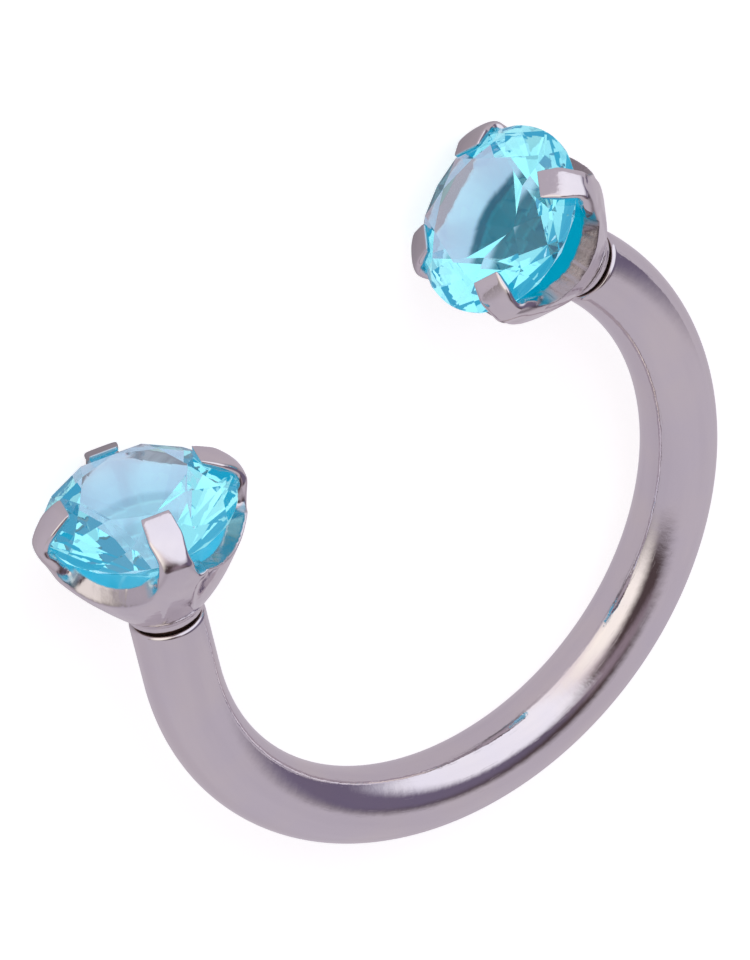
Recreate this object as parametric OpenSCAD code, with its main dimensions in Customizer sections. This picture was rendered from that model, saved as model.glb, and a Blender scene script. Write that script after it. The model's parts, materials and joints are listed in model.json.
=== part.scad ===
// Horseshoe barbell with a claw-set round stone at each end, lying on its side.
// Millimetres, +Z up, origin under the middle of the part on the surface that it lies on.

/* [Bar] */
// Thickness of the round bar
bar_d = 1.2; // [1:0.05:1.6]
// Diameter of the round opening inside the bar
ring_d = 8.15; // [7.5:0.05:12]
// Turn of the bend from the middle of the bar to its left end, in degrees
left_turn = 102.9; // [95:0.1:108]
// Turn of the bend from the middle of the bar to its right end, in degrees
right_turn = 114.9; // [105:0.1:118]
// Straight length of the bar in front of the left head
left_straight = 1.2; // [0.6:0.05:1.8]
// Straight length of the bar in front of the right head
right_straight = 0.1; // [0.1:0.05:1]
// Radius of the polished rim at each end of the bar
rim_round = 0.07; // [0.03:0.01:0.09]

/* [Post and bore] */
// Outer diameter of the threaded post under each head
post_d = 0.8; // [0.6:0.02:0.84]
// Length of the post inside the bar
post_length = 0.8; // [0.5:0.05:0.9]
// Distance from one thread to the next
thread_pitch = 0.2; // [0.15:0.01:0.3]
// Depth of the thread
thread_depth = 0.06; // [0.02:0.01:0.1]
// Clearance round the post
post_fit = 0.02; // [0.01:0.005:0.04]
// Room left in the bore behind the post
bore_room = 0.1; // [0.05:0.01:0.2]
// Open gap between the head and the end of the bar
head_gap = 0.08; // [0.04:0.01:0.2]

/* [Stone] */
// Diameter of each round brilliant stone
stone_d = 3; // [2.6:0.05:3.6]
// Height of the girdle, the narrow band round the stone
girdle_t = 0.06; // [0.03:0.01:0.12]
// Width of the flat table, as a share of the stone's diameter
table_share = 0.58; // [0.5:0.01:0.62]
// Height of the crown, as a share of the stone's diameter
crown_share = 0.155; // [0.12:0.005:0.18]
// Depth of the pavilion, as a share of the stone's diameter
pavilion_share = 0.43; // [0.38:0.01:0.46]

/* [Setting] */
// Height of the straight band at the foot of the setting
foot_h = 0.1; // [0.05:0.01:0.2]
// Thickness of the solid foot under the stone
floor_t = 0.5; // [0.35:0.01:0.7]
// Clearance between the stone's point and the foot
culet_gap = 0.12; // [0.05:0.01:0.3]
// Clearance between the stone and the metal that holds it
seat_gap = 0.02; // [0.01:0.005:0.04]
// Thickness of the bowl's wall, measured level
wall_t = 0.33; // [0.3:0.01:0.38]
// Thickness of a claw beside the girdle
claw_t = 0.23; // [0.16:0.01:0.24]
// Width of a claw
claw_w = 0.48; // [0.3:0.02:0.7]
// How far the flat face of a claw stands out from the bowl
claw_proud = 0.04; // [0.02:0.01:0.08]
// How far each claw reaches in over the edge of the stone
claw_grip = 0.42; // [0.2:0.01:0.5]
// Thickness of each claw at its tip, measured along the post
tip_t = 0.1; // [0.06:0.01:0.18]
// Height of the lowest point of each valley between two claws
valley_floor = 1.2; // [0.9:0.02:1.3]
// Angle between straight down and the first claw of the left head
left_claw_angle = -15.5; // [-45:0.5:45]
// Angle between straight down and the first claw of the right head
right_claw_angle = 49.5; // [0:0.5:90]

/* [Hidden] */
CLAWS = 4;
SMOOTH = 96;
PROFILE_STEPS = 10;
CUT_REACH = 2 * stone_d;
// How full the bowl is, from 0.5 for a straight cone to 1 for a round tulip
FULLNESS = 0.74;
// Angle at which the fold of a claw over the stone ends, and how far the fold arches, from 0 for a
// claw that lies flat along the crown to 1 for a round arch
FOLD_END = 78;
FOLD_ARCH = 0.55;
// Share of the crown's slope, and of the pavilion's, that the small facets by the girdle take
CROWN_HALVES = 0.5;
PAVILION_HALVES = 0.75;
STEEL = "silver";
AQUA = "turquoise";
LEFT = 1;
RIGHT = -1;
DOWN = [0, 0, -1];

bar_r = bar_d / 2;
end_relief = 0.004;
end_lap = 0.15;
bend_r = ring_d / 2 + bar_r;
post_r = post_d / 2;
stone_r = stone_d / 2;
crown_h = crown_share * stone_d;
pavilion_h = pavilion_share * stone_d;
table_r = table_share * stone_r;

// Heights above the foot of the setting
girdle_z = floor_t + culet_gap + pavilion_h;
girdle_top_z = girdle_z + girdle_t;
table_z = girdle_top_z + crown_h;
shoulder_r = stone_r + seat_gap + claw_t;
tip_r = stone_r - claw_grip;
bowl_r = shoulder_r - claw_proud;

// Each valley is a round cut that reaches the sides of its two claws at the height of the girdle
valley_slack = 0.03;
valley_half = (shoulder_r - claw_w / 2) / sqrt(2) + valley_slack;
valley_depth = girdle_z - valley_floor;
valley_r = (valley_half * valley_half + valley_depth * valley_depth) / (2 * valley_depth);

// Radius of the bowl's outer wall at a height, and a point on the fold of a claw
function wall_part(z) = (z - foot_h) / (girdle_z - foot_h);
function wall_r(z) = let (t = wall_part(z))
    bar_r + (bowl_r - bar_r) * (2 * FULLNESS * t + (1 - 2 * FULLNESS) * t * t);
function arched(round, flat) = FOLD_ARCH * round + (1 - FOLD_ARCH) * flat;
function fold_point(a) = [
    shoulder_r - (shoulder_r - tip_r) * arched((1 - cos(a)) / (1 - cos(FOLD_END)), a / FOLD_END),
    girdle_z + (tip_z - girdle_z) * arched(sin(a) / sin(FOLD_END), a / FOLD_END)
];
function crown_z(r) = girdle_top_z + crown_h * (stone_r - r) / (stone_r - table_r);
tip_under_z = crown_z(tip_r) + 2 * seat_gap;
tip_z = tip_under_z + tip_t;

function steps(from, to, n) = [for (i = [0 : n]) from + (to - from) * i / n];

// How deep a claw is let into the wall, and how deep its root starts inside the foot
claw_sink = 0.05;
claw_root = 0.02;
claw_dip = 0.08;
claw_in = wall_t - claw_sink;
seat_z = girdle_z - seat_gap;

// How far the flat face of a claw stands out from the bowl at a height, and how fast it comes out
CLAW_RISE = 3;
function proud(z) = claw_proud - (claw_proud + claw_dip) * pow(1 - wall_part(z), CLAW_RISE);

WALL_HEIGHTS = steps(foot_h, girdle_z, PROFILE_STEPS);
INSIDE_HEIGHTS = steps(seat_z, floor_t, PROFILE_STEPS);
BOWL_OUTSIDE = concat([[bar_r, 0]], [for (z = WALL_HEIGHTS) [wall_r(z), z]]);
BOWL_INSIDE = concat([for (z = INSIDE_HEIGHTS) [wall_r(z) - wall_t, z]], [[0, floor_t]]);
CLAW_OUTSIDE = concat(
    [[bar_r - claw_dip, claw_root]],
    [for (z = WALL_HEIGHTS) [wall_r(z) + proud(z), z]],
    [for (a = steps(FOLD_END / PROFILE_STEPS, FOLD_END, PROFILE_STEPS - 1)) fold_point(a)]
);
CLAW_INSIDE = concat(
    [[tip_r, tip_under_z], [stone_r + seat_gap, girdle_top_z + seat_gap]],
    [[stone_r + seat_gap, seat_z]],
    [for (z = INSIDE_HEIGHTS) [wall_r(z) - claw_in, z]],
    [[post_r - thread_depth, floor_t - claw_sink], [post_r - thread_depth, claw_root]]
);

// Where each end of the bar is and which way it points, in the plane of the bend
function turn(side) = side == LEFT ? left_turn : right_turn;
function straight(side) = side == LEFT ? left_straight : right_straight;
function claw_angle(side) = side == LEFT ? left_claw_angle : right_claw_angle;
function out_dir(side) = [-side * cos(turn(side)), sin(turn(side)), 0];
function face_at(side) =
    [-side * bend_r * sin(turn(side)), -bend_r * cos(turn(side)), 0] + straight(side) * out_dir(side);

// A point of a head: x out and y across at an angle a from straight down, at a height above the foot
function head_point(side, x, y, z, a) = let (out = out_dir(side), across = cross(out, DOWN))
    face_at(side) + (head_gap + z) * out
    + (x * cos(a) - y * sin(a)) * DOWN + (x * sin(a) + y * cos(a)) * across;

// The outer edges of every claw of one head
function claw_points(side) = [
    for (p = CLAW_OUTSIDE) for (i = [0 : CLAWS - 1]) for (y = [-claw_w / 2, claw_w / 2])
        head_point(side, p.x, y, p.y, claw_angle(side) + i * 360 / CLAWS)
];
// Points on the rim of every valley, and round the girdle of the stone, where it meets the surface
RIM_STEPS = 12;
GIRDLE_STEPS = 72;
function rim_points(side) = [
    for (u = steps(-valley_r, valley_r, RIM_STEPS)) for (i = [0 : CLAWS - 1])
        let (
            z = min(girdle_z, valley_floor + valley_r - sqrt(max(0, valley_r * valley_r - u * u))),
            x = sqrt(wall_r(z) * wall_r(z) - u * u))
        head_point(side, x, u, z, claw_angle(side) + (i + 0.5) * 360 / CLAWS)
];
function girdle_points(side) = [
    for (i = [1 : GIRDLE_STEPS]) for (z = [girdle_z, girdle_top_z])
        head_point(side, stone_r, 0, z, i * 360 / GIRDLE_STEPS)
];
function head_points(side) = concat(claw_points(side), rim_points(side), girdle_points(side));
LEFT_POINTS = head_points(LEFT);
RIGHT_POINTS = head_points(RIGHT);

// The lean that brings a claw of each head and the middle of the bar down to one level surface
function lowest(points, up) = let (heights = [for (p = points) p * up], low = min(heights))
    [for (i = [0 : len(points) - 1]) if (heights[i] == low) points[i]][0];
function bar_low(lean) = -bend_r * norm(lean) - bar_r * norm([lean.x, lean.y, 1]);
function next_lean(lean) = let (
        up = [lean.x, lean.y, 1],
        a = lowest(LEFT_POINTS, up),
        b = lowest(RIGHT_POINTS, up),
        rise_a = bar_low(lean) - a.z,
        rise_b = bar_low(lean) - b.z,
        det = a.x * b.y - b.x * a.y)
    [(rise_a * b.y - rise_b * a.y) / det, (a.x * rise_b - b.x * rise_a) / det];

// Each round goes a share of the way to the next lean, because the lowest claw may change
LEAN_SHARE = 0.43;
LEAN_ROUNDS = 24;
function settle(lean, rounds) = rounds < 1 ? lean
    : settle(lean + LEAN_SHARE * (next_lean(lean) - lean), rounds - 1);
LEAN = settle([0, 0], LEAN_ROUNDS);

// Directions of the lying part's axes in the plane of the bend
UP = [LEAN.x, LEAN.y, 1] / norm([LEAN.x, LEAN.y, 1]);
FORWARD = cross(UP, [1, 0, 0]) / norm(cross(UP, [1, 0, 0]));
ACROSS = cross(FORWARD, UP);

// The box round the lying part, from the claws and the round of the bar
function claw_reach(dir) = max([for (p = concat(LEFT_POINTS, RIGHT_POINTS)) p * dir]);
function bar_reach(dir) = bend_r * norm([dir.x, dir.y]) + bar_r;
RIGHT_REACH = max(claw_reach(ACROSS), bar_reach(ACROSS));
LEFT_REACH = max(claw_reach(-ACROSS), bar_reach(ACROSS));
BACK_REACH = claw_reach(FORWARD);
FRONT_REACH = bar_reach(FORWARD);
SHIFT = [
    (LEFT_REACH - RIGHT_REACH) / 2,
    (FRONT_REACH - BACK_REACH) / 2,
    -bar_low(LEAN) / norm([LEAN.x, LEAN.y, 1])
];

module lay_down() {
    multmatrix([
        [ACROSS.x, ACROSS.y, ACROSS.z, SHIFT.x],
        [FORWARD.x, FORWARD.y, FORWARD.z, SHIFT.y],
        [UP.x, UP.y, UP.z, SHIFT.z],
        [0, 0, 0, 1]
    ]) children();
}

// Puts a shape that stands on +Z on one end of the bar, with its +X pointing down
module at_end(side) {
    out = out_dir(side);
    translate(face_at(side)) rotate([0, 0, atan2(out.y, out.x)]) rotate([0, 90, 0]) children();
}

// A straight end, turned a hair thinner than the bend that it starts in, with a round rim
module bar_end(side) {
    end_r = bar_r - end_relief;
    rotate_extrude($fn = SMOOTH) {
        translate([0, -straight(side) - end_lap])
            square([end_r, straight(side) + end_lap - rim_round]);
        translate([0, -straight(side)]) square([end_r - rim_round, straight(side)]);
        translate([end_r - rim_round, -rim_round]) circle(r = rim_round, $fn = SMOOTH);
    }
}

module bore() {
    translate([0, 0, -post_length - bore_room])
        cylinder(r = post_r + post_fit, h = post_length + bore_room + rim_round, $fn = SMOOTH);
}

module bar() {
    color(STEEL) lay_down() difference() {
        union() {
            rotate([0, 0, -90 - left_turn])
                rotate_extrude(angle = left_turn + right_turn, $fn = SMOOTH)
                    translate([bend_r, 0]) circle(r = bar_r, $fn = SMOOTH);
            at_end(LEFT) bar_end(LEFT);
            at_end(RIGHT) bar_end(RIGHT);
        }
        at_end(LEFT) bore();
        at_end(RIGHT) bore();
    }
}

// Half outline of the post from its tip up, with one V groove for each turn of the thread
post_tip_z = -post_length - head_gap;
function groove(z) = [
    [post_r, z - thread_pitch / 3], [post_r - thread_depth, z], [post_r, z + thread_pitch / 3]
];
POST_OUTSIDE = concat(
    [[0, post_tip_z], [post_r, post_tip_z]],
    [for (z = [post_tip_z + thread_pitch / 2 : thread_pitch : -thread_pitch / 2]) each groove(z)],
    [[post_r, 0]]
);

module setting(side) {
    color(STEEL) lay_down() at_end(side) translate([0, 0, head_gap]) rotate([0, 0, claw_angle(side)]) {
        difference() {
            rotate_extrude($fn = SMOOTH) polygon(concat(BOWL_OUTSIDE, BOWL_INSIDE, POST_OUTSIDE));
            for (i = [0 : CLAWS - 1]) rotate([0, 0, (i + 0.5) * 360 / CLAWS]) valley();
        }
        for (i = [0 : CLAWS - 1]) rotate([0, 0, i * 360 / CLAWS]) claw();
    }
}

// The round-bottomed valley cut through the bowl between two claws
module valley() {
    rotate([90, 0, 90]) translate([0, valley_floor + valley_r, 0])
        cylinder(r = valley_r, h = CUT_REACH, $fn = SMOOTH);
}

// A flat-faced claw from the foot up the bowl, past the girdle and folded over the stone
module claw() {
    rotate([90, 0, 0]) translate([0, 0, -claw_w / 2])
        linear_extrude(height = claw_w) polygon(concat(CLAW_OUTSIDE, CLAW_INSIDE));
}

// Corners of the round brilliant, ring by ring from the table down to the point
SIDES = 8;
half_step = 180 / SIDES;
function spoke(r, a, z) = [r * cos(a), r * sin(a), z];
crown_mid_r = (table_r + (1 - CROWN_HALVES) * (stone_r - table_r)) / cos(half_step);
crown_mid_z = crown_z(crown_mid_r * cos(half_step));
pavilion_mid_r = (1 - PAVILION_HALVES) * stone_r / cos(half_step);
culet_z = girdle_z - pavilion_h;
pavilion_mid_z = culet_z + pavilion_h * (1 - PAVILION_HALVES);
STONE_POINTS = concat(
    [for (i = [0 : SIDES - 1]) spoke(table_r, 2 * half_step * i, table_z)],
    [for (i = [0 : SIDES - 1]) spoke(crown_mid_r, half_step * (2 * i + 1), crown_mid_z)],
    [for (i = [0 : 2 * SIDES - 1]) spoke(stone_r, half_step * i, girdle_top_z)],
    [for (i = [0 : 2 * SIDES - 1]) spoke(stone_r, half_step * i, girdle_z)],
    [for (i = [0 : SIDES - 1]) spoke(pavilion_mid_r, half_step * (2 * i + 1), pavilion_mid_z)],
    [[0, 0, culet_z]]
);
function on_table(i) = i % SIDES;
function on_crown(i) = SIDES + (i + SIDES) % SIDES;
function on_girdle_top(i) = 2 * SIDES + (i + 2 * SIDES) % (2 * SIDES);
function on_girdle(i) = 4 * SIDES + (i + 2 * SIDES) % (2 * SIDES);
function on_pavilion(i) = 6 * SIDES + (i + SIDES) % SIDES;
CULET = 7 * SIDES;
STONE_FACETS = concat(
    [[for (i = [SIDES - 1 : -1 : 0]) on_table(i)]],
    [for (i = [0 : SIDES - 1]) each [
        [on_table(i), on_table(i + 1), on_crown(i)],
        [on_table(i), on_crown(i), on_girdle_top(2 * i), on_crown(i - 1)],
        [on_crown(i), on_girdle_top(2 * i + 1), on_girdle_top(2 * i)],
        [on_crown(i), on_girdle_top(2 * i + 2), on_girdle_top(2 * i + 1)],
        [on_pavilion(i), on_girdle(2 * i), on_girdle(2 * i + 1)],
        [on_pavilion(i), on_girdle(2 * i + 1), on_girdle(2 * i + 2)],
        [CULET, on_pavilion(i - 1), on_girdle(2 * i), on_pavilion(i)]
    ]],
    [for (i = [0 : 2 * SIDES - 1])
        [on_girdle_top(i), on_girdle_top(i + 1), on_girdle(i + 1), on_girdle(i)]]
);

module gem(side) {
    color(AQUA) lay_down() at_end(side) translate([0, 0, head_gap]) rotate([0, 0, claw_angle(side)])
        polyhedron(points = STONE_POINTS, faces = STONE_FACETS, convexity = 2);
}

module setting_left() { setting(LEFT); }
module setting_right() { setting(RIGHT); }
module gem_left() { gem(LEFT); }
module gem_right() { gem(RIGHT); }

bar();
setting_left();
gem_left();
setting_right();
gem_right();
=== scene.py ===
import json
import math

import bmesh
import bpy
import numpy as np
from mathutils import Matrix, Vector


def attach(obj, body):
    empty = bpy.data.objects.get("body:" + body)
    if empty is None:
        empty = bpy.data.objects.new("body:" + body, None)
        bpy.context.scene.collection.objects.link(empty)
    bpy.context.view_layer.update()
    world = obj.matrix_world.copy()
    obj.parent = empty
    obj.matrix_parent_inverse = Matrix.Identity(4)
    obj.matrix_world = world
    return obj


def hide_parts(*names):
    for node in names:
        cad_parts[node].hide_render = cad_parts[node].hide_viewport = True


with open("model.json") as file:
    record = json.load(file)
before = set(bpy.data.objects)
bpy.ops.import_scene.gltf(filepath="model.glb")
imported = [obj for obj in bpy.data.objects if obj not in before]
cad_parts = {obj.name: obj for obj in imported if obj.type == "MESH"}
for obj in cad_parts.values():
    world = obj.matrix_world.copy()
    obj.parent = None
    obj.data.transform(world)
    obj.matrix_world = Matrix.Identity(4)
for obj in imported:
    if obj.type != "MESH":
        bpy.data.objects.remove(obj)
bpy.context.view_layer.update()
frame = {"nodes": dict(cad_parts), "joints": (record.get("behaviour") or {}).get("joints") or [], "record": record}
MM = 0.001

# The studio
# A white sheet under the barbell, two soft lamps, a mauve-grey screen and the dark of the room
# behind the photographer. The camera looks from the photograph's side of the ring.
# The sheet is white to the camera, and darker where the steel mirrors it. There it has painted
# shade near the ring and the painted shadows of the two heads.
SHEET_HALF = 400 * MM
SHEET_ALBEDO = 0.75
SHEET_GLOW = 0.66
# Where the steel mirrors it, the sheet has painted shade near the ring, fading to the far tone from SHEET_NEAR to
# SHEET_FAR out
SHEET_MIRRORED_NEAR_SHADED = (0.56, 0.51, 0.57, 1)
SHEET_MIRRORED_FAR = (0.58, 0.535, 0.60, 1)
SHEET_NEAR = 4 * MM
SHEET_FAR = 16 * MM
# Painted shadows of the two heads on the sheet where the steel mirrors it: a middle and a radius each, and how
# much they darken it
SHEET_HEAD_SHADOWS = ((-3.6 * MM, 3.8 * MM, 3.2 * MM), (3.4 * MM, 3.6 * MM, 3 * MM))
SHEET_SHADOW_DEPTH = 0.6
SHEET_THROUGH_GLASS = (0.95, 0.97, 1.0, 1)
ROOM_DARK = (0.088, 0.062, 0.066, 1)
GLASS_LIGHT = (1.6, 1.6, 1.6, 1)
GLASS_LIGHT_SHARE = 0.5
# Azimuth 0 is +Y and 90 is +X, in degrees. A later panel stands in front of an earlier one. Each
# has an azimuth, elevation, half width, half height, squareness, softness and colour.
PANELS = (
    (0, 90, 360, 13, 2.0, 0.6, (0.30, 0.235, 0.28)),
    (98, 33, 36, 46, 3.0, 0.4, (0.18, 0.15, 0.23)),
    (211, 2, 84, 73, 2.2, 0.16, (0.58, 0.535, 0.60)),
    (0, 16, 34, 44, 2.5, 0.5, (0.86, 0.76, 0.81)),
    (42, 34, 42, 44, 3.0, 0.32, (1.08, 1.08, 1.18)),
    (327, 26, 30, 25, 2.2, 0.55, (1.22, 1.16, 1.08)),
)


def math_node(tree, operation, a, b=None, c=None):
    """One sum on sockets or constants."""
    node = tree.nodes.new("ShaderNodeMath")
    node.operation = operation
    for socket, value in zip(node.inputs, (a, b, c)):
        if value is None:
            continue
        if isinstance(value, bpy.types.NodeSocket):
            tree.links.new(value, socket)
        else:
            socket.default_value = value
    return node.outputs[0]


def soft_panel_group():
    """A mask that is 1 inside a panel with round corners and fades out past its edge."""
    group = bpy.data.node_groups.new("Soft panel", "ShaderNodeTree")
    for name in ("Azimuth", "Elevation", "Middle azimuth", "Middle elevation",
                 "Half width", "Half height", "Squareness", "Softness"):
        group.interface.new_socket(name, in_out="INPUT", socket_type="NodeSocketFloat")
    group.interface.new_socket("Mask", in_out="OUTPUT", socket_type="NodeSocketFloat")
    start = group.nodes.new("NodeGroupInput").outputs
    across = math_node(group, "SUBTRACT", start["Azimuth"], start["Middle azimuth"])
    across = math_node(group, "WRAP", across, 180, -180)
    across = math_node(group, "DIVIDE", across, start["Half width"])
    up = math_node(group, "SUBTRACT", start["Elevation"], start["Middle elevation"])
    up = math_node(group, "DIVIDE", up, start["Half height"])
    across = math_node(group, "POWER", math_node(group, "ABSOLUTE", across), start["Squareness"])
    up = math_node(group, "POWER", math_node(group, "ABSOLUTE", up), start["Squareness"])
    reach = math_node(group, "POWER", math_node(group, "ADD", across, up),
                      math_node(group, "DIVIDE", 1, start["Squareness"]))
    fade = group.nodes.new("ShaderNodeMapRange")
    fade.interpolation_type = "SMOOTHSTEP"
    group.links.new(reach, fade.inputs["Value"])
    group.links.new(math_node(group, "ADD", 1, start["Softness"]), fade.inputs["From Min"])
    group.links.new(math_node(group, "SUBTRACT", 1, start["Softness"]), fade.inputs["From Max"])
    end = group.nodes.new("NodeGroupOutput")
    group.links.new(fade.outputs["Result"], end.inputs["Mask"])
    return group


WHITE = (1, 1, 1, 1)

world = bpy.data.worlds.new("Studio")
bpy.context.scene.world = world
world.use_nodes = True
sky = world.node_tree
sky.nodes.clear()
direction = sky.nodes.new("ShaderNodeTexCoord").outputs["Generated"]
axes = sky.nodes.new("ShaderNodeSeparateXYZ")
sky.links.new(direction, axes.inputs[0])
azimuth = math_node(sky, "DEGREES", math_node(sky, "ARCTAN2", axes.outputs["X"], axes.outputs["Y"]))
elevation = math_node(sky, "DEGREES", math_node(sky, "ARCSINE", axes.outputs["Z"]))
room = sky.nodes.new("ShaderNodeRGB")
room.outputs[0].default_value = ROOM_DARK
shade = room.outputs[0]
panel_mask = soft_panel_group()
for middle_azimuth, middle_elevation, half_width, half_height, squareness, softness, colour in PANELS:
    panel = sky.nodes.new("ShaderNodeGroup")
    panel.node_tree = panel_mask
    sky.links.new(azimuth, panel.inputs["Azimuth"])
    sky.links.new(elevation, panel.inputs["Elevation"])
    panel.inputs["Middle azimuth"].default_value = middle_azimuth
    panel.inputs["Middle elevation"].default_value = middle_elevation
    panel.inputs["Half width"].default_value = half_width
    panel.inputs["Half height"].default_value = half_height
    panel.inputs["Squareness"].default_value = squareness
    panel.inputs["Softness"].default_value = softness
    layer = sky.nodes.new("ShaderNodeMix")
    layer.data_type = "RGBA"
    sky.links.new(panel.outputs["Mask"], layer.inputs["Factor"])
    sky.links.new(shade, layer.inputs["A"])
    layer.inputs["B"].default_value = (*colour, 1)
    shade = layer.outputs["Result"]
rays = sky.nodes.new("ShaderNodeLightPath").outputs
through_glass = math_node(sky, "MULTIPLY", rays["Is Transmission Ray"], GLASS_LIGHT_SHARE)
lit_room = sky.nodes.new("ShaderNodeBackground")
lightened = sky.nodes.new("ShaderNodeMix")
lightened.data_type = "RGBA"
sky.links.new(through_glass, lightened.inputs["Factor"])
sky.links.new(shade, lightened.inputs["A"])
lightened.inputs["B"].default_value = GLASS_LIGHT
sky.links.new(lightened.outputs["Result"], lit_room.inputs["Color"])
white_room = sky.nodes.new("ShaderNodeBackground")
white_room.inputs["Color"].default_value = WHITE
seen = sky.nodes.new("ShaderNodeMixShader")
sky.links.new(rays["Is Camera Ray"], seen.inputs["Fac"])
sky.links.new(lit_room.outputs[0], seen.inputs[1])
sky.links.new(white_room.outputs[0], seen.inputs[2])
sky.links.new(seen.outputs[0], sky.nodes.new("ShaderNodeOutputWorld").inputs["Surface"])

sheet_mesh = bpy.data.meshes.new("sheet")
sheet_mesh.from_pydata(
    [(-SHEET_HALF, -SHEET_HALF, 0), (SHEET_HALF, -SHEET_HALF, 0),
     (SHEET_HALF, SHEET_HALF, 0), (-SHEET_HALF, SHEET_HALF, 0)], [], [(0, 1, 2, 3)])
sheet = bpy.data.objects.new("sheet", sheet_mesh)
bpy.context.scene.collection.objects.link(sheet)
paper = bpy.data.materials.new("White paper")
paper.use_nodes = True
tree = paper.node_tree
tree.nodes.clear()
matt = tree.nodes.new("ShaderNodeBsdfDiffuse")
matt.inputs["Color"].default_value = (SHEET_ALBEDO, SHEET_ALBEDO, SHEET_ALBEDO, 1)
glow = tree.nodes.new("ShaderNodeEmission")
glow.inputs["Color"].default_value = WHITE
glow.inputs["Strength"].default_value = SHEET_GLOW
front = tree.nodes.new("ShaderNodeAddShader")
tree.links.new(matt.outputs[0], front.inputs[0])
tree.links.new(glow.outputs[0], front.inputs[1])
where = tree.nodes.new("ShaderNodeNewGeometry").outputs["Position"]
# Painted shadows of the two heads on the mirrored sheet
head_shadow = 0
for x, y, radius in SHEET_HEAD_SHADOWS:
    away = tree.nodes.new("ShaderNodeVectorMath")
    away.operation = "DISTANCE"
    tree.links.new(where, away.inputs[0])
    away.inputs[1].default_value = (x, y, 0)
    near = tree.nodes.new("ShaderNodeMapRange")
    near.interpolation_type = "SMOOTHSTEP"
    tree.links.new(away.outputs["Value"], near.inputs["Value"])
    near.inputs["From Min"].default_value = radius
    near.inputs["From Max"].default_value = 0
    head_shadow = math_node(tree, "MAXIMUM", near.outputs["Result"], head_shadow)
rays = tree.nodes.new("ShaderNodeLightPath").outputs
mirrored = tree.nodes.new("ShaderNodeEmission")
tree.links.new(math_node(tree, "MULTIPLY_ADD", head_shadow, -SHEET_SHADOW_DEPTH, 1), mirrored.inputs["Strength"])
# Painted shade on the mirrored sheet near the ring
from_middle = tree.nodes.new("ShaderNodeVectorMath")
from_middle.operation = "LENGTH"
tree.links.new(where, from_middle.inputs[0])
far = tree.nodes.new("ShaderNodeMapRange")
far.interpolation_type = "SMOOTHSTEP"
tree.links.new(from_middle.outputs["Value"], far.inputs["Value"])
far.inputs["From Min"].default_value = SHEET_NEAR
far.inputs["From Max"].default_value = SHEET_FAR
sheet_mirrored = tree.nodes.new("ShaderNodeMix")
sheet_mirrored.data_type = "RGBA"
tree.links.new(far.outputs["Result"], sheet_mirrored.inputs["Factor"])
sheet_mirrored.inputs["A"].default_value = SHEET_MIRRORED_NEAR_SHADED
sheet_mirrored.inputs["B"].default_value = SHEET_MIRRORED_FAR
sheet_tone = tree.nodes.new("ShaderNodeMix")
sheet_tone.data_type = "RGBA"
tree.links.new(rays["Is Transmission Ray"], sheet_tone.inputs["Factor"])
tree.links.new(sheet_mirrored.outputs["Result"], sheet_tone.inputs["A"])
sheet_tone.inputs["B"].default_value = SHEET_THROUGH_GLASS
tree.links.new(sheet_tone.outputs["Result"], mirrored.inputs["Color"])
choice = tree.nodes.new("ShaderNodeMixShader")
tree.links.new(rays["Is Camera Ray"], choice.inputs["Fac"])
tree.links.new(mirrored.outputs[0], choice.inputs[1])
tree.links.new(front.outputs[0], choice.inputs[2])
tree.links.new(choice.outputs[0], tree.nodes.new("ShaderNodeOutputMaterial").inputs["Surface"])
sheet_mesh.materials.append(paper)

LOOKS_AT = Vector((-0.284, 1.765, 1.5)) * MM
LOOKING_AZIMUTH = math.radians(161.47)
LOOKING_DOWN = math.radians(52.16)
ROLL = math.radians(-125.42)
DISTANCE = 259.6 * MM
FOCAL_LENGTH = 642.1
SENSOR = 36
NEAREST = 20 * MM
FARTHEST = 3000 * MM
looking = Vector((math.sin(LOOKING_AZIMUTH) * math.cos(LOOKING_DOWN),
                  math.cos(LOOKING_AZIMUTH) * math.cos(LOOKING_DOWN), -math.sin(LOOKING_DOWN)))
level_right = looking.cross(Vector((0, 0, 1))).normalized()
level_up = level_right.cross(looking)
camera_up = level_up * math.cos(ROLL) + level_right * math.sin(ROLL)
camera_right = looking.cross(camera_up)
camera_data = bpy.data.cameras.new("camera")
camera_data.lens = FOCAL_LENGTH
camera_data.sensor_width = SENSOR
camera_data.clip_start = NEAREST
camera_data.clip_end = FARTHEST
camera = bpy.data.objects.new("camera", camera_data)
camera.matrix_world = Matrix.Translation(LOOKS_AT - DISTANCE * looking) @ Matrix(
    (camera_right, camera_up, -looking)).transposed().to_4x4()
bpy.context.scene.collection.objects.link(camera)
bpy.context.scene.camera = camera
bpy.context.scene.view_settings.view_transform = "Standard"

# The bar
# A round steel rod bent to a horseshoe and polished all over. Each end is turned square with a
# small round rim, and has a threaded bore that the head's post screws into.
BAR_R = 0.6 * MM
BEND_R = 4.675 * MM
LEFT_STRAIGHT = 1.2 * MM
RIGHT_STRAIGHT = 0.1 * MM
RIM_ROUND = 0.07 * MM
BORE_R = 0.42 * MM
BORE_DEPTH = 0.9 * MM
BEND_STATIONS = 320
RIM_STATIONS = 6
ROUND_STEPS = 112
BAR_WAVES = (1.3, 1.6, 2.0, 2.6, 3.4)
BAR_UNEVEN = 0.001 * MM
BAR_SHY = 0.0016 * MM
BAR_SEED = 2
RIM_SHARE = 0.8
SHARP_ANGLE = 40

packed = frame["record"]
seat = Vector(packed["mounts"][0]["pos_m"])
along = Vector(packed["mounts"][0]["axis"]).normalized()
out_left, out_right = [Vector(joint["axis"]).normalized() for joint in frame["joints"]]
ring_up = out_left.cross(out_right).normalized()
bend_middle = seat + BEND_R * ring_up.cross(along)
end_faces = {
    "left": bend_middle + BEND_R * ring_up.cross(out_left) + LEFT_STRAIGHT * out_left,
    "right": bend_middle - BEND_R * ring_up.cross(out_right) + RIGHT_STRAIGHT * out_right,
}


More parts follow.
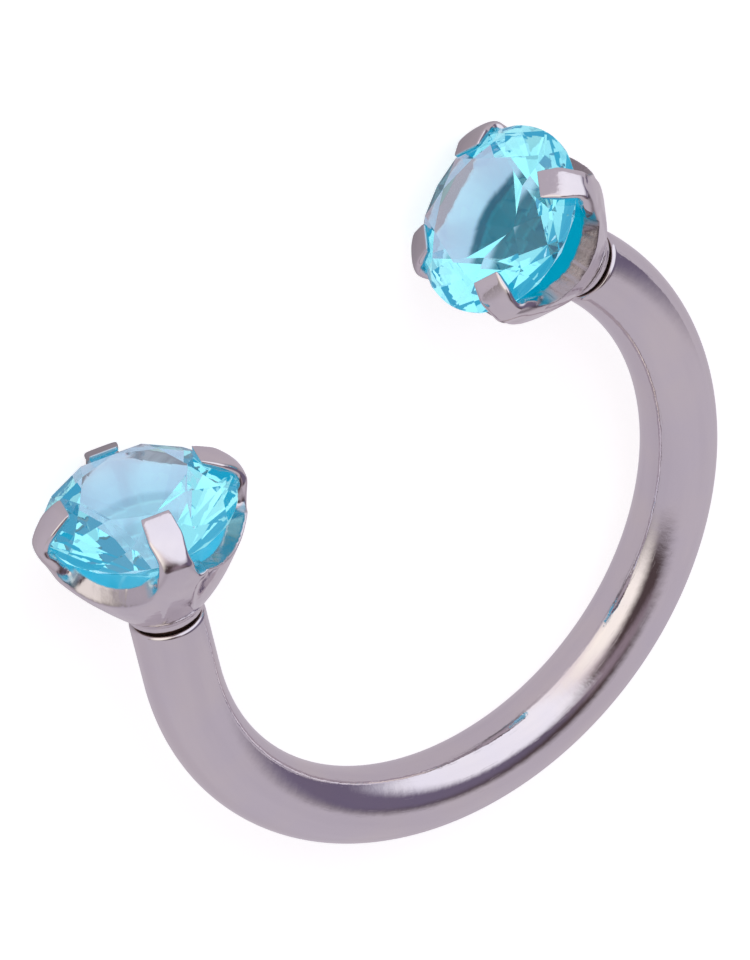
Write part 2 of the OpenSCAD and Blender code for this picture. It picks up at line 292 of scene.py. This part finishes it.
def bar_stations():
    """Centre, direction and radius of each ring of points, from the right bore to the left bore."""
    start = -ring_up.cross(out_right)
    finish = ring_up.cross(out_left)
    sweep = 2 * math.pi - start.angle(finish)
    bend = []
    for i in range(BEND_STATIONS + 1):
        turn = Matrix.Rotation(-sweep * i / BEND_STATIONS, 3, ring_up)
        radial = turn @ start
        bend.append((bend_middle + BEND_R * radial, radial.cross(ring_up), BAR_R))
    ends = []
    for face, out in ((end_faces["right"], out_right), (end_faces["left"], out_left)):
        end = []
        for i in range(RIM_STATIONS + 1):
            a = math.pi / 2 * i / RIM_STATIONS
            end.append((face - RIM_ROUND * (1 - math.sin(a)) * out,
                        BAR_R - RIM_ROUND * (1 - math.cos(a))))
        end.append((face, BORE_R))
        end.append((face - BORE_DEPTH * out, BORE_R))
        ends.append(end)
    right = [(centre, -out_right, radius) for centre, radius in reversed(ends[0])]
    left = [(centre, out_left, radius) for centre, radius in ends[1]]
    return right + bend + left


def uneven(points, sizes, seed):
    """A smooth uneven value near -1 to 1 at each point, from waves of those lengths."""
    draw = np.random.default_rng(seed)
    value = np.zeros(len(points))
    for size in sizes:
        way = draw.normal(size=3)
        way *= 2 * math.pi / size / np.linalg.norm(way)
        value += np.sin(points @ way + draw.uniform(0, 2 * math.pi))
    return value / len(sizes)


def keep_place(mesh, places):
    """Stores where each point lies in its own piece, in millimetres, for the materials."""
    stored = mesh.attributes.new("place", "FLOAT_VECTOR", "POINT")
    stored.data.foreach_set("vector", np.asarray(places, np.float32).ravel())


def keep_value(mesh, name, values):
    """Stores one number at each point under a name, for the materials."""
    stored = mesh.attributes.new(name, "FLOAT", "POINT")
    stored.data.foreach_set("value", np.asarray(values, np.float32))


def swept_mesh(name, stations, across):
    """A closed skin round a list of stations, which starts each ring on the side of across."""
    points, places = [], []
    length = 0
    last_centre = stations[0][0]
    around = [2 * math.pi * i / ROUND_STEPS for i in range(ROUND_STEPS)]
    for centre, out, radius in stations:
        side = out.cross(across).normalized()
        length += (centre - last_centre).length
        last_centre = centre
        for a in around:
            place = (radius / MM * math.cos(a), radius / MM * math.sin(a), length / MM)
            points.append((centre, math.cos(a) * across + math.sin(a) * side, radius))
            places.append(place)
    waves = uneven(np.array(places), BAR_WAVES, BAR_SEED).tolist()
    skin = [centre + (radius - (BAR_SHY + BAR_UNEVEN * (1 + wave) if radius > BORE_R else 0)) * way
            for (centre, way, radius), wave in zip(points, waves)]
    faces = []
    for j in range(len(stations) - 1):
        for i in range(ROUND_STEPS):
            k = (i + 1) % ROUND_STEPS
            faces.append((j * ROUND_STEPS + i, j * ROUND_STEPS + k,
                          (j + 1) * ROUND_STEPS + k, (j + 1) * ROUND_STEPS + i))
    last = (len(stations) - 1) * ROUND_STEPS
    faces.append(tuple(range(ROUND_STEPS - 1, -1, -1)))
    faces.append(tuple(last + i for i in range(ROUND_STEPS)))
    mesh = bpy.data.meshes.new(name)
    mesh.from_pydata(skin, [], faces)
    keep_place(mesh, places)
    # The end face inside the rim and the bore get the painted shade of the gap under the head
    keep_value(mesh, "gap", [radius < BAR_R - RIM_SHARE * RIM_ROUND for _, _, radius in points])
    mesh.shade_smooth()
    mesh.set_sharp_from_angle(angle=math.radians(SHARP_ANGLE))
    return mesh


def show(mesh, body, slot, *nodes):
    """Puts a mesh in the scene as the piece that stands for those nodes."""
    piece = bpy.data.objects.new(mesh.name, mesh)
    bpy.context.scene.collection.objects.link(piece)
    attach(piece, body)
    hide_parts(*nodes)


def noise_node(tree, where, scale, detail, stretch=(1, 1, 1)):
    """Cloudy noise from 0 to 1 at a place, drawn out by stretch."""
    turned = tree.nodes.new("ShaderNodeMapping")
    turned.inputs["Scale"].default_value = stretch
    tree.links.new(where, turned.inputs["Vector"])
    noise = tree.nodes.new("ShaderNodeTexNoise")
    noise.inputs["Scale"].default_value = scale
    noise.inputs["Detail"].default_value = detail
    tree.links.new(turned.outputs[0], noise.inputs["Vector"])
    return noise.outputs["Fac"]


def range_node(tree, value, from_low, from_high, to_low, to_high):
    """Moves a value from one range to another."""
    node = tree.nodes.new("ShaderNodeMapRange")
    tree.links.new(value, node.inputs["Value"])
    for name, number in (("From Min", from_low), ("From Max", from_high),
                         ("To Min", to_low), ("To Max", to_high)):
        node.inputs[name].default_value = number
    return node.outputs["Result"]


def blend_node(tree, factor, first, second):
    """Mixes two colours, each a socket or a constant."""
    node = tree.nodes.new("ShaderNodeMix")
    node.data_type = "RGBA"
    tree.links.new(factor, node.inputs["Factor"])
    for socket, value in ((node.inputs["A"], first), (node.inputs["B"], second)):
        if isinstance(value, bpy.types.NodeSocket):
            tree.links.new(value, socket)
        else:
            socket.default_value = (*value, 1)
    return node.outputs["Result"]


STEEL_COOL = (0.765, 0.72, 0.755)
STEEL_WARM = (0.805, 0.75, 0.745)
STEEL_STREAK = (0.675, 0.635, 0.68)
STEEL_CUT = (0.33, 0.29, 0.305)
# The stone's painted light in the bowl: pale cyan on its lit side, dark cyan on the other, and its painted glow
# beside the stone and seen through it
BOWL_PAINTED_LIGHT = (0.50, 0.60, 0.64)
BOWL_GLOW_BESIDE_STONE = (0.0, 0.20, 0.31)
BOWL_GLOW_BEHIND_STONE = (0.60, 0.41, 0.47)
BOWL_PAINTED_SHADE = (0.0, 0.22, 0.29)
# Painted shade in the gap between each head's foot and the bar's end
GAP_PAINTED_SHADE = (0.32, 0.24, 0.21)
TINT_SIZE = 0.9
TINT_RANGE = (0.35, 0.65)
STREAK_SIZE = 2.2
STREAK_DRAWN = (1, 1, 0.12)
STREAK_SHARE = 0.5
HAZE_SIZE = 2.4
HAZE_RANGE = (0.3, 0.7)
HAZE_LEAST = 0.035
HAZE_MOST = 0.1
SCRATCH_SIZE = 9
SCRATCH_RANGE = (0.62, 0.72)
SCRATCH_DRAWN = (5, 5, 0.35)
SCRATCH_ROUGHER = 0.07
SCRATCH_DEPTH = 0.0004
CUT_ROUGHER = 0.2
GAP_ROUGHER = 0.25
INSIDE_ROUGHER = 0.35
RIPPLE_SIZE = 5
RIPPLE_HEIGHT = 0.003
GRAIN_SIZE = 26
GRAIN_HEIGHT = 0.004


def polished_steel_group():
    """Hand-polished steel: a faint warm and cool tint, haze, fine scratches and rougher cut faces,
    with the stone's painted light in the bowl and painted shade in the gap at the foot.
    """
    group = bpy.data.node_groups.new("Hand-polished steel", "ShaderNodeTree")
    group.interface.new_socket("Place", in_out="INPUT", socket_type="NodeSocketVector")
    for name in ("Cut", "Inside", "Gap", "Lit"):
        group.interface.new_socket(name, in_out="INPUT", socket_type="NodeSocketFloat")
    group.interface.new_socket("Colour", in_out="OUTPUT", socket_type="NodeSocketColor")
    for name in ("Roughness", "Height"):
        group.interface.new_socket(name, in_out="OUTPUT", socket_type="NodeSocketFloat")
    start = group.nodes.new("NodeGroupInput").outputs
    end = group.nodes.new("NodeGroupOutput")
    place = start["Place"]
    tint = range_node(group, noise_node(group, place, TINT_SIZE, 2), *TINT_RANGE, 0, 1)
    colour = blend_node(group, tint, STEEL_COOL, STEEL_WARM)
    streak = noise_node(group, place, STREAK_SIZE, 3, STREAK_DRAWN)
    streak = range_node(group, streak, *TINT_RANGE, 0, STREAK_SHARE)
    colour = blend_node(group, streak, colour, STEEL_STREAK)
    colour = blend_node(group, start["Cut"], colour, STEEL_CUT)
    # The stone's painted light on the bowl's inside, paler on its lit side
    bowl = blend_node(group, start["Lit"], BOWL_PAINTED_SHADE, BOWL_PAINTED_LIGHT)
    colour = blend_node(group, start["Inside"], colour, bowl)
    # Painted shade in the gap at the foot of each head
    colour = blend_node(group, start["Gap"], colour, GAP_PAINTED_SHADE)
    group.links.new(colour, end.inputs["Colour"])
    rough = noise_node(group, place, HAZE_SIZE, 4)
    rough = range_node(group, rough, *HAZE_RANGE, HAZE_LEAST, HAZE_MOST)
    scratch = noise_node(group, place, SCRATCH_SIZE, 2, SCRATCH_DRAWN)
    scratch = range_node(group, scratch, *SCRATCH_RANGE, 0, 1)
    for mask, rougher in ((scratch, SCRATCH_ROUGHER), (start["Cut"], CUT_ROUGHER),
                          (start["Gap"], GAP_ROUGHER), (start["Inside"], INSIDE_ROUGHER)):
        rough = math_node(group, "MULTIPLY_ADD", mask, rougher, rough)
    group.links.new(rough, end.inputs["Roughness"])
    height = math_node(group, "MULTIPLY", noise_node(group, place, RIPPLE_SIZE, 3), RIPPLE_HEIGHT)
    height = math_node(group, "MULTIPLY_ADD", scratch, -SCRATCH_DEPTH, height)
    grain = math_node(group, "MULTIPLY", noise_node(group, place, GRAIN_SIZE, 3), start["Cut"])
    height = math_node(group, "MULTIPLY_ADD", grain, GRAIN_HEIGHT, height)
    group.links.new(height, end.inputs["Height"])
    return group


def steel_material(name):
    """The polished steel of one piece. The bowl under a stone has the stone's light painted on it:
    a cyan colour, paler on its lit side, and a painted glow, pale where it is seen through the
    stone and dark cyan beside it. Heights in the group are in millimetres."""
    material = bpy.data.materials.new(name)
    material.use_nodes = True
    tree = material.node_tree
    metal = tree.nodes["Principled BSDF"]
    metal.inputs["Metallic"].default_value = 1
    look = tree.nodes.new("ShaderNodeGroup")
    look.node_tree = steel_look
    stored = {}
    for kind, value in (("Vector", "Place"), ("Fac", "Cut"), ("Fac", "Inside"), ("Fac", "Gap"),
                        ("Fac", "Lit")):
        node = tree.nodes.new("ShaderNodeAttribute")
        node.attribute_name = value.lower()
        stored[value] = node.outputs[kind]
        tree.links.new(stored[value], look.inputs[value])
    # Painted glow: the bowl's inside glows dark cyan beside the stone, and the bowl and cut faces glow pale
    # through it, most on their lit side
    behind_glass = tree.nodes.new("ShaderNodeLightPath").outputs["Is Transmission Ray"]
    tree.links.new(blend_node(tree, behind_glass, BOWL_GLOW_BESIDE_STONE, BOWL_GLOW_BEHIND_STONE),
                   metal.inputs["Emission Color"])
    strength = tree.nodes.new("ShaderNodeMix")
    tree.links.new(behind_glass, strength.inputs["Factor"])
    tree.links.new(stored["Inside"], strength.inputs["A"])
    tree.links.new(stored["Lit"], strength.inputs["B"])
    tree.links.new(strength.outputs["Result"], metal.inputs["Emission Strength"])
    bump = tree.nodes.new("ShaderNodeBump")
    bump.inputs["Distance"].default_value = MM
    tree.links.new(look.outputs["Height"], bump.inputs["Height"])
    tree.links.new(look.outputs["Colour"], metal.inputs["Base Color"])
    tree.links.new(look.outputs["Roughness"], metal.inputs["Roughness"])
    tree.links.new(bump.outputs[0], metal.inputs["Normal"])
    return material


steel_look = polished_steel_group()
bar_mesh = swept_mesh("bar_polished", bar_stations(), ring_up)
bar_mesh.materials.append(steel_material("Polished bar"))
show(bar_mesh, "bar", "polished_steel", "bar")

# The left setting
# A cast steel bowl with four claws and a threaded post. The valleys between the claws are milled,
# the outside is polished by hand, and the claws are bent over the stone with pliers.
# The other lengths are in millimetres, in the head's own axes: the foot lies at height 0.
HEAD_GAP = 0.08 * MM
LEFT_CLAW_ANGLE = -15.5
SKIN = 0.0225
SOFTENING = 5
GIRDLE_Z = 1.91
VALLEY_FLOOR = 1.2
VALLEY_R = 1.2036
MILLED_NEAR = 0.03
VALLEY_INNER = 0.5
STROKES = 27
STROKES_SWING = 1.25
STROKE_SHIFT = 0.03
STROKE_LEAN = 0.7
STROKE_MOST = 1.3
WALL_MIDDLE = 1.35
WALL_WIDTH = 0.3
CASTING_WAVES = (0.5, 0.6, 0.7, 0.8, 0.9, 1.1, 1.3)
CASTING_UNEVEN = 0.005
SHOULDER_R = 1.75
SHOULDER_Z = 1.85
TIP_R = 1.08
ROOT_Z = 1.1
CLAW_HALF = 0.3
CLAW_FADE = 0.22
SHOULDER_WIDER = 0.4
SHOULDER_ROUND_NEAR = 0.1
SHOULDER_ROUND_FAR = 0.55
SHOULDER_PASSES = 120
SHOULDER_RUB = 0.7
EDGE_PASSES = 8
EDGE_RUB = 0.5
RUB_Z = 0.3
RUB_FADE = 0.3
RIM_MIDDLE = 1.235
WALL_LEAN = 0.55
ROUGH_STROKES = 0.025
RIM_DEPTH = 0.4
RIM_SWING = 0.85
RIM_FADE = 0.3
RIM_CURVE = 0.16
TIP_RISE = 0.15
AXIS_R = 0.1
INSIDE_CONTRAST = 4
INSIDE_LEAST = 0.8
FLOOR_R = 0.7
FLOOR_UP = 0.5
FLOOR_Z = 0.4
OVER_GIRDLE = 0.4
GAP_TOP = 0.03
LIT_AZIMUTH = 300
LIT_ROUND = 0.35
LIT_FADE = 0.8
LIT_LOW = 0.6
LIT_HIGH = 0.72
CUT_LIT = 0.8


def head_matrix(side, claw_angle):
    """From a head's own axes to the frame: +X to its first claw, +Z out along the post."""
    out = out_left if side == "left" else out_right
    down = -ring_up
    across = out.cross(down)
    turn = math.radians(claw_angle)
    first = math.cos(turn) * down + math.sin(turn) * across
    return Matrix.Translation(end_faces[side] + HEAD_GAP * out) @ Matrix(
        (first, out.cross(first), out)).transposed().to_4x4()


def even_skin(mesh, voxel, passes):
    """A closed skin of small even faces over a mesh in millimetres, with its edges softened."""
    worker = bpy.data.objects.new("worker", mesh)
    bpy.context.scene.collection.objects.link(worker)
    skin = worker.modifiers.new("skin", "REMESH")
    skin.mode = "VOXEL"
    skin.voxel_size = voxel
    soft = worker.modifiers.new("soft", "SMOOTH")
    soft.factor = 0.5
    soft.iterations = passes
    done = bpy.data.meshes.new_from_object(
        worker.evaluated_get(bpy.context.evaluated_depsgraph_get()))
    bpy.data.objects.remove(worker)
    return done


def eased(value):
    """Goes softly from 0 to 1 as the value does."""
    value = np.clip(value, 0, 1)
    return value * value * (3 - 2 * value)


def rubbed(mesh, points):
    """Rounds edges as hand polishing does: a little above the foot, most at the claws' shoulders."""
    ends = np.empty(2 * len(mesh.edges), np.int64)
    mesh.edges.foreach_get("vertices", ends)
    here = np.concatenate((ends[0::2], ends[1::2]))
    there = np.concatenate((ends[1::2], ends[0::2]))
    count = np.bincount(here, minlength=len(points))[:, None]
    across = np.hypot(points[:, 0], points[:, 1])
    shoulder = np.hypot(across - SHOULDER_R, points[:, 2] - SHOULDER_Z)
    shoulder = (SHOULDER_ROUND_FAR - shoulder) / (SHOULDER_ROUND_FAR - SHOULDER_ROUND_NEAR)
    shoulder = SHOULDER_RUB * eased(shoulder)
    edges = EDGE_RUB * eased((points[:, 2] - RUB_Z) / RUB_FADE) * eased((across - TIP_R) / RUB_FADE)
    for i in range(SHOULDER_PASSES):
        held = np.maximum(shoulder, edges if i < EDGE_PASSES else 0)[:, None]
        mean = np.stack([np.bincount(here, points[there, k], len(points)) for k in range(3)], 1) / count
        points = points + held * (mean - points)
    return points


def milled(points, seed, stroke_depth, rims):
    """Moves the faces of the four valleys into flat strokes, and says which points are cut faces."""
    draw = np.random.default_rng(seed)
    moved = points.copy()
    cut = np.zeros(len(points))
    for i in range(4):
        middle = math.radians(45 + 90 * i)
        across = -math.sin(middle) * points[:, 0] + math.cos(middle) * points[:, 1]
        outward = math.cos(middle) * points[:, 0] + math.sin(middle) * points[:, 1]
        below = VALLEY_FLOOR + VALLEY_R - points[:, 2]
        reach = np.hypot(across, below)
        near = np.exp(-((reach - VALLEY_R) / MILLED_NEAR) ** 2)
        near *= (outward > VALLEY_INNER) & (points[:, 2] < GIRDLE_Z)
        swing = np.arctan2(across, below)
        knots = np.linspace(-STROKES_SWING, STROKES_SWING, STROKES)
        knots += draw.uniform(-STROKE_SHIFT, STROKE_SHIFT, STROKES)
        depth = np.interp(swing, knots, draw.uniform(0, 1, STROKES))
        lean = draw.uniform(-STROKE_LEAN, STROKE_LEAN, STROKES + 1)[np.searchsorted(knots, swing)]
        depth += lean * (outward - WALL_MIDDLE) / WALL_WIDTH
        depth = stroke_depth * np.clip(depth, 0, STROKE_MOST) * near
        way = across / reach
        moved[:, 0] -= depth * way * math.sin(middle)
        moved[:, 1] += depth * way * math.cos(middle)
        moved[:, 2] -= depth * below / reach
        sloped = eased(1 - np.abs(reach - VALLEY_R) / RIM_DEPTH) * (outward > VALLEY_INNER)
        sloped *= eased((RIM_SWING - np.abs(swing)) / RIM_FADE)
        slope, lift = rims[i]
        rise = sloped * (lift - slope * (outward - RIM_MIDDLE + RIM_CURVE * across * across))
        moved[:, 0] += WALL_LEAN * rise * math.cos(middle)
        moved[:, 1] += WALL_LEAN * rise * math.sin(middle)
        moved[:, 2] += rise
        cut = np.maximum(cut, near * min(1, stroke_depth / ROUGH_STROKES))
    return moved, cut


def bent(points, bends):
    """Each claw as the pliers left it: sideways at the shoulder, then sideways, in and up at the tip."""
    moved = points.copy()
    for i, (side_at_shoulder, side_at_tip, inward, up) in enumerate(bends):
        turn = math.radians(90 * i)
        out = math.cos(turn) * points[:, 0] + math.sin(turn) * points[:, 1]
        across = -math.sin(turn) * points[:, 0] + math.cos(turn) * points[:, 1]
        held = eased((CLAW_HALF + CLAW_FADE - np.abs(across)) / CLAW_FADE) * (out > 0)
        rise = eased((points[:, 2] - ROOT_Z) / (SHOULDER_Z - ROOT_Z)) * held
        reach = np.clip((SHOULDER_R - out) / (SHOULDER_R - TIP_R), 0, 1) * rise
        reach *= eased((points[:, 2] - SHOULDER_Z) / TIP_RISE)
        sideways = side_at_shoulder * (rise - reach) + side_at_tip * reach
        sideways += SHOULDER_WIDER * across * (rise - reach)
        moved[:, 0] -= math.sin(turn) * sideways + math.cos(turn) * inward * reach
        moved[:, 1] += math.cos(turn) * sideways - math.sin(turn) * inward * reach
        moved[:, 2] += up * reach
    return moved


def read_vectors(mesh, name):
    """A vector of each point of a mesh, its place (co) or its normal."""
    values = np.empty(3 * len(mesh.vertices))
    mesh.vertices.foreach_get(name, values)
    return values.reshape(-1, 3)


def setting_mesh(name, side, claw_angle, seed, lit_least, stroke_depth, rims, dents, bends):
    """The setting's skin. Each dent has an azimuth and a height on the outside, a radius and a depth."""
    to_frame = head_matrix(side, claw_angle)
    node = frame["nodes"]["setting_" + side]
    solid = node.data.copy()
    solid.materials.clear()
    solid.transform(Matrix.Scale(1 / MM, 4) @ to_frame.inverted() @ node.matrix_world)
    mesh = even_skin(solid, SKIN, SOFTENING)
    normals = read_vectors(mesh, "normal")
    places = rubbed(mesh, read_vectors(mesh, "co"))
    heights = places[:, 2]
    across = np.hypot(places[:, 0], places[:, 1])
    azimuths = np.degrees(np.arctan2(places[:, 1], places[:, 0]))
    facing = (normals[:, 0] * places[:, 0] + normals[:, 1] * places[:, 1]) / np.maximum(across, AXIS_R)
    outside = np.clip(facing, 0, 1) * (heights > 0)
    sunk = CASTING_UNEVEN * (1 + uneven(places, CASTING_WAVES, seed)) * (heights > 0)
    for azimuth, height, radius, depth in dents:
        turn = np.radians((azimuths - azimuth + 180) % 360 - 180)
        away = np.hypot(turn * across, heights - height)
        sunk += depth * outside * np.exp(-(away / radius) ** 2)
    points = places - sunk[:, None] * normals

    # Where the bowl's inside takes the stone's painted light
    inside = np.clip(-INSIDE_CONTRAST * facing - INSIDE_LEAST, 0, 1)
    floor = (np.hypot(points[:, 0], points[:, 1]) < FLOOR_R) & (normals[:, 2] > FLOOR_UP)
    inside = np.maximum(inside, floor) * (points[:, 2] > FLOOR_Z)
    inside[points[:, 2] > GIRDLE_Z] *= OVER_GIRDLE
    points, cut = milled(points, seed, stroke_depth, rims)
    points = bent(points, bends)
    # Painted light: the bowl and the cut faces are lit most towards LIT_AZIMUTH and higher up
    towards = np.cos(np.radians(azimuths - LIT_AZIMUTH))
    lit = lit_least + (1 - lit_least) * eased((towards + LIT_ROUND) / LIT_FADE)
    lit *= lit_least + (1 - lit_least) * eased((points[:, 2] - LIT_LOW) / (LIT_HIGH - LIT_LOW))
    keep_place(mesh, places)
    keep_value(mesh, "cut", cut)
    keep_value(mesh, "inside", inside)
    keep_value(mesh, "lit", np.maximum(inside, CUT_LIT * cut) * lit)
    # The lowest part of the foot gets the painted shade of the gap over the bar's end
    keep_value(mesh, "gap", heights < GAP_TOP)

    mesh.vertices.foreach_set("co", points.ravel())
    mesh.transform(to_frame @ Matrix.Scale(MM, 4))
    corners = np.array([node.matrix_world @ vertex.co for vertex in node.data.vertices])
    kept = np.clip(read_vectors(mesh, "co"), corners.min(axis=0), corners.max(axis=0))
    mesh.vertices.foreach_set("co", kept.ravel())
    mesh.name = name
    mesh.shade_smooth()
    return mesh


LEFT_SEED = 3
LEFT_LIT_LEAST = 0.75
LEFT_STROKES = 0.007
# For each valley, how much its rim slopes outward and how far it is lifted
LEFT_RIMS = ((0.3, 0), (0.75, 0.06), (0.1, 0.2), (0.3, 0))
# For each dent, its azimuth, height, radius and depth
LEFT_DENTS = ((2, 1.1, 0.09, 0.02), (-12, 0.8, 0.1, 0.02), (20, 0.6, 0.12, 0.02),
              (95, 1.6, 0.12, 0.02), (185, 1.5, 0.1, 0.02), (268, 1.3, 0.12, 0.02))
# For each claw, its move sideways at the shoulder and sideways, in and up at the tip
LEFT_BENDS = ((0.06, 0.13, 0.03, 0), (-0.02, -0.08, 0, 0.04), (0.02, 0.02, 0.12, 0.09),
              (0.06, 0.13, 0.02, 0.06))
setting_steel = steel_material("Polished setting")
left_setting = setting_mesh(
    "setting_left_cast", "left", LEFT_CLAW_ANGLE, LEFT_SEED, LEFT_LIT_LEAST, LEFT_STROKES,
    LEFT_RIMS, LEFT_DENTS, LEFT_BENDS)
left_setting.materials.append(setting_steel)
show(left_setting, "left_head", "polished_steel", "setting_left")

# The left stone
# A round brilliant of aqua glass, 3 mm across, cut with a table, a crown and a pavilion of flat
# facets and polished. The four claws hold it by the crown.
STONE_R = 1.5
TABLE_R = 0.87
TABLE_Z = 2.435
GIRDLE_TOP_Z = 1.97
CROWN_MID_R = 1.2826
CROWN_MID_Z = 2.2025
PAVILION_MID_R = 0.4059
PAVILION_MID_Z = 0.9425
CULET_Z = 0.62
GIRDLE_SIDES = 96
MAIN_FACETS = 8
BLANK_ROOM = 0.2
SAME_PLANE = 1e-6
SAME_POINT = 1e-5
GLASS_TINT = (0.93, 0.985, 1.0)
GLASS_DEEP = (0.04, 0.845, 0.93)
GLASS_DENSITY = 340
GLASS_IOR = 1.55
WAVES_SIZE = 3.5
WAVY_FACETS = 0.003
WAVES_FADE = 0.05
GLASS_DEPTH = 2.9
# Painted glow that ends rays mirrored often inside the stone
GLASS_PAINTED_GLOW = (0.06, 0.46, 0.66)


def spoke(radius, azimuth, height):
    """A point of the stone at a radius, an azimuth in degrees and a height."""
    turn = math.radians(azimuth)
    return Vector((radius * math.cos(turn), radius * math.sin(turn), height))


def cut_stone(name, side, claw_angle):
    """A round body cut by one plane for each facet, then moved into its setting."""
    body = bmesh.new()
    blank_top = TABLE_Z + BLANK_ROOM
    bmesh.ops.create_cone(
        body, cap_ends=True, segments=GIRDLE_SIDES, radius1=STONE_R, radius2=STONE_R,
        depth=blank_top - CULET_Z, matrix=Matrix.Translation((0, 0, (blank_top + CULET_Z) / 2)))
    planes = [(Vector((0, 0, TABLE_Z)), Vector((0, 0, 1)))]
    middle = Vector((0, 0, GIRDLE_Z))
    step = 360 / MAIN_FACETS
    for i in range(MAIN_FACETS):
        main, between = step * i, step * (i + 0.5)
        corners = [
            (spoke(TABLE_R, main, TABLE_Z), spoke(STONE_R, main, GIRDLE_TOP_Z), None),
            (spoke(TABLE_R, main, TABLE_Z), spoke(TABLE_R, main + step, TABLE_Z),
             spoke(CROWN_MID_R, between, CROWN_MID_Z)),
            (spoke(CROWN_MID_R, between, CROWN_MID_Z), spoke(STONE_R, between, GIRDLE_TOP_Z),
             spoke(STONE_R, main, GIRDLE_TOP_Z)),
            (spoke(CROWN_MID_R, between, CROWN_MID_Z), spoke(STONE_R, main + step, GIRDLE_TOP_Z),
             spoke(STONE_R, between, GIRDLE_TOP_Z)),
            (spoke(0, main, CULET_Z), spoke(STONE_R, main, GIRDLE_Z), None),
            (spoke(PAVILION_MID_R, between, PAVILION_MID_Z), spoke(STONE_R, between, GIRDLE_Z),
             spoke(STONE_R, main, GIRDLE_Z)),
            (spoke(PAVILION_MID_R, between, PAVILION_MID_Z), spoke(STONE_R, main + step, GIRDLE_Z),
             spoke(STONE_R, between, GIRDLE_Z)),
        ]
        for a, b, c in corners:
            second = c - a if c else spoke(1, main + 90, 0)
            normal = (b - a).cross(second).normalized()
            if normal.dot(a - middle) < 0:
                normal = -normal
            planes.append((a, normal))
    for place, normal in planes:
        sliced = bmesh.ops.bisect_plane(
            body, geom=body.verts[:] + body.edges[:] + body.faces[:], dist=SAME_PLANE,
            plane_co=place, plane_no=normal, clear_outer=True)
        rim = [item for item in sliced["geom_cut"] if isinstance(item, bmesh.types.BMEdge)]
        bmesh.ops.edgeloop_fill(body, edges=[edge for edge in rim if edge.is_boundary])
    bmesh.ops.remove_doubles(body, verts=body.verts[:], dist=SAME_POINT)
    bmesh.ops.recalc_face_normals(body, faces=body.faces[:])
    mesh = bpy.data.meshes.new(name)
    body.to_mesh(mesh)
    body.free()
    keep_place(mesh, [vertex.co for vertex in mesh.vertices])
    mesh.transform(head_matrix(side, claw_angle) @ Matrix.Scale(MM, 4))
    return mesh


def glass_material():
    """Clear aqua glass with slightly wavy facets under the girdle. Light that has been mirrored
    often inside it ends in a painted glow in the colour of the glass."""
    material = bpy.data.materials.new("Aqua glass")
    material.use_nodes = True
    tree = material.node_tree
    clear = tree.nodes["Principled BSDF"]
    clear.inputs["Base Color"].default_value = (*GLASS_TINT, 1)
    clear.inputs["Transmission Weight"].default_value = 1
    clear.inputs["Roughness"].default_value = 0
    clear.inputs["IOR"].default_value = GLASS_IOR
    stored = tree.nodes.new("ShaderNodeAttribute")
    stored.attribute_name = "place"
    axes = tree.nodes.new("ShaderNodeSeparateXYZ")
    tree.links.new(stored.outputs["Vector"], axes.inputs[0])
    under = range_node(tree, axes.outputs["Z"], GIRDLE_Z, GIRDLE_Z - WAVES_FADE, 0, 1)
    waves = noise_node(tree, stored.outputs["Vector"], WAVES_SIZE, 1.5)
    waves = math_node(tree, "MULTIPLY", waves, WAVY_FACETS)
    bump = tree.nodes.new("ShaderNodeBump")
    bump.inputs["Distance"].default_value = MM
    tree.links.new(math_node(tree, "MULTIPLY", waves, under), bump.inputs["Height"])
    tree.links.new(bump.outputs[0], clear.inputs["Normal"])
    # Painted glow in the colour of the glass for rays mirrored often inside it
    deep_glow = tree.nodes.new("ShaderNodeEmission")
    deep_glow.inputs["Color"].default_value = (*GLASS_PAINTED_GLOW, 1)
    deep = tree.nodes.new("ShaderNodeMixShader")
    rays = tree.nodes.new("ShaderNodeLightPath").outputs
    depth = math_node(tree, "MULTIPLY", rays["Ray Depth"], 0.5)
    depth = math_node(tree, "MAXIMUM", rays["Glossy Depth"], depth)
    tree.links.new(math_node(tree, "GREATER_THAN", depth, GLASS_DEPTH), deep.inputs["Fac"])
    tree.links.new(clear.outputs[0], deep.inputs[1])
    tree.links.new(deep_glow.outputs[0], deep.inputs[2])
    tree.links.new(deep.outputs[0], tree.nodes["Material Output"].inputs["Surface"])
    absorb = tree.nodes.new("ShaderNodeVolumeAbsorption")
    absorb.inputs["Color"].default_value = (*GLASS_DEEP, 1)
    absorb.inputs["Density"].default_value = GLASS_DENSITY
    tree.links.new(absorb.outputs[0], tree.nodes["Material Output"].inputs["Volume"])
    return material


aqua_glass = glass_material()
left_stone = cut_stone("gem_left_cut", "left", LEFT_CLAW_ANGLE)
left_stone.materials.append(aqua_glass)
show(left_stone, "left_head", "aqua_stone", "gem_left")

# The right setting
# The same casting as the left one, screwed on with its claws at another angle and with its own
# marks from the mill and the pliers.
RIGHT_CLAW_ANGLE = 49.5
RIGHT_SEED = 5
RIGHT_LIT_LEAST = 0
RIGHT_STROKES = 0.03
RIGHT_RIMS = ((0.3, 0), (0.6, 0), (0.6, 0), (0.3, 0))
RIGHT_DENTS = ((2, 1.2, 0.1, 0.02), (88, 1.7, 0.1, 0.02), (181, 1.9, 0.09, 0.025),
               (176, 1.5, 0.1, 0.02), (272, 1.6, 0.12, 0.02))
RIGHT_BENDS = ((0, 0, 0.02, 0), (-0.03, -0.06, -0.08, -0.02), (-0.15, -0.08, -0.05, -0.02),
               (0.06, 0.13, 0, 0))
right_setting = setting_mesh(
    "setting_right_cast", "right", RIGHT_CLAW_ANGLE, RIGHT_SEED, RIGHT_LIT_LEAST, RIGHT_STROKES,
    RIGHT_RIMS, RIGHT_DENTS, RIGHT_BENDS)
right_setting.materials.append(setting_steel)
show(right_setting, "right_head", "polished_steel", "setting_right")

# The right stone
# The same stone as the left one, turned with its setting.
right_stone = cut_stone("gem_right_cut", "right", RIGHT_CLAW_ANGLE)
right_stone.materials.append(aqua_glass)
show(right_stone, "right_head", "aqua_stone", "gem_right")
